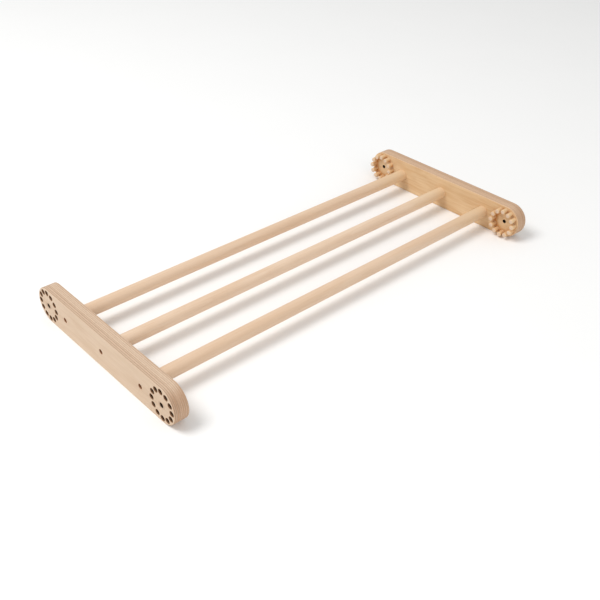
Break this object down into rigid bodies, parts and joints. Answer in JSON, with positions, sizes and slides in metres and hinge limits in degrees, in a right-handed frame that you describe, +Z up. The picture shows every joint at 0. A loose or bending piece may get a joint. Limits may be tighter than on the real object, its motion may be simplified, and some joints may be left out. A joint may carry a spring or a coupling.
{
  "type": "modular climbing ladder section",
  "caption": "Flat wooden ladder section: round rungs between two round-ended plywood rails, with rings of peg holes on one rail and rings of pegs on the other to join sections.",
  "frame": {"origin": "middle of the section, on the surface that it lies on", "axes": "+X along the rungs from the hole rail to the peg rail, +Y along the rails, +Z up"},
  "size_m": [0.783, 0.36, 0.06],
  "materials": {
    "birch_ply": "satin oiled birch plywood",
    "rung_wood": "smooth sanded beech",
    "peg_wood": "smooth sanded beech",
    "screw_steel": "yellow zinc plated steel"
  },
  "bodies": {
    "root": {"hole_rail": "birch_ply", "peg_rail": "birch_ply", "rung_front": "rung_wood", "rung_middle": "rung_wood", "rung_back": "rung_wood", "peg_front_01": "peg_wood", "peg_front_02": "peg_wood", "peg_front_03": "peg_wood", "peg_front_04": "peg_wood", "peg_front_05": "peg_wood", "peg_front_06": "peg_wood", "peg_front_07": "peg_wood", "peg_front_08": "peg_wood", "peg_front_09": "peg_wood", "peg_front_10": "peg_wood", "peg_front_11": "peg_wood", "peg_front_12": "peg_wood", "peg_back_01": "peg_wood", "peg_back_02": "peg_wood", "peg_back_03": "peg_wood", "peg_back_04": "peg_wood", "peg_back_05": "peg_wood", "peg_back_06": "peg_wood", "peg_back_07": "peg_wood", "peg_back_08": "peg_wood", "peg_back_09": "peg_wood", "peg_back_10": "peg_wood", "peg_back_11": "peg_wood", "peg_back_12": "peg_wood", "screw_hole_rail_front": "screw_steel", "screw_hole_rail_middle": "screw_steel", "screw_hole_rail_back": "screw_steel", "screw_peg_rail_front": "screw_steel", "screw_peg_rail_middle": "screw_steel", "screw_peg_rail_back": "screw_steel"}
  },
  "joints": []
}
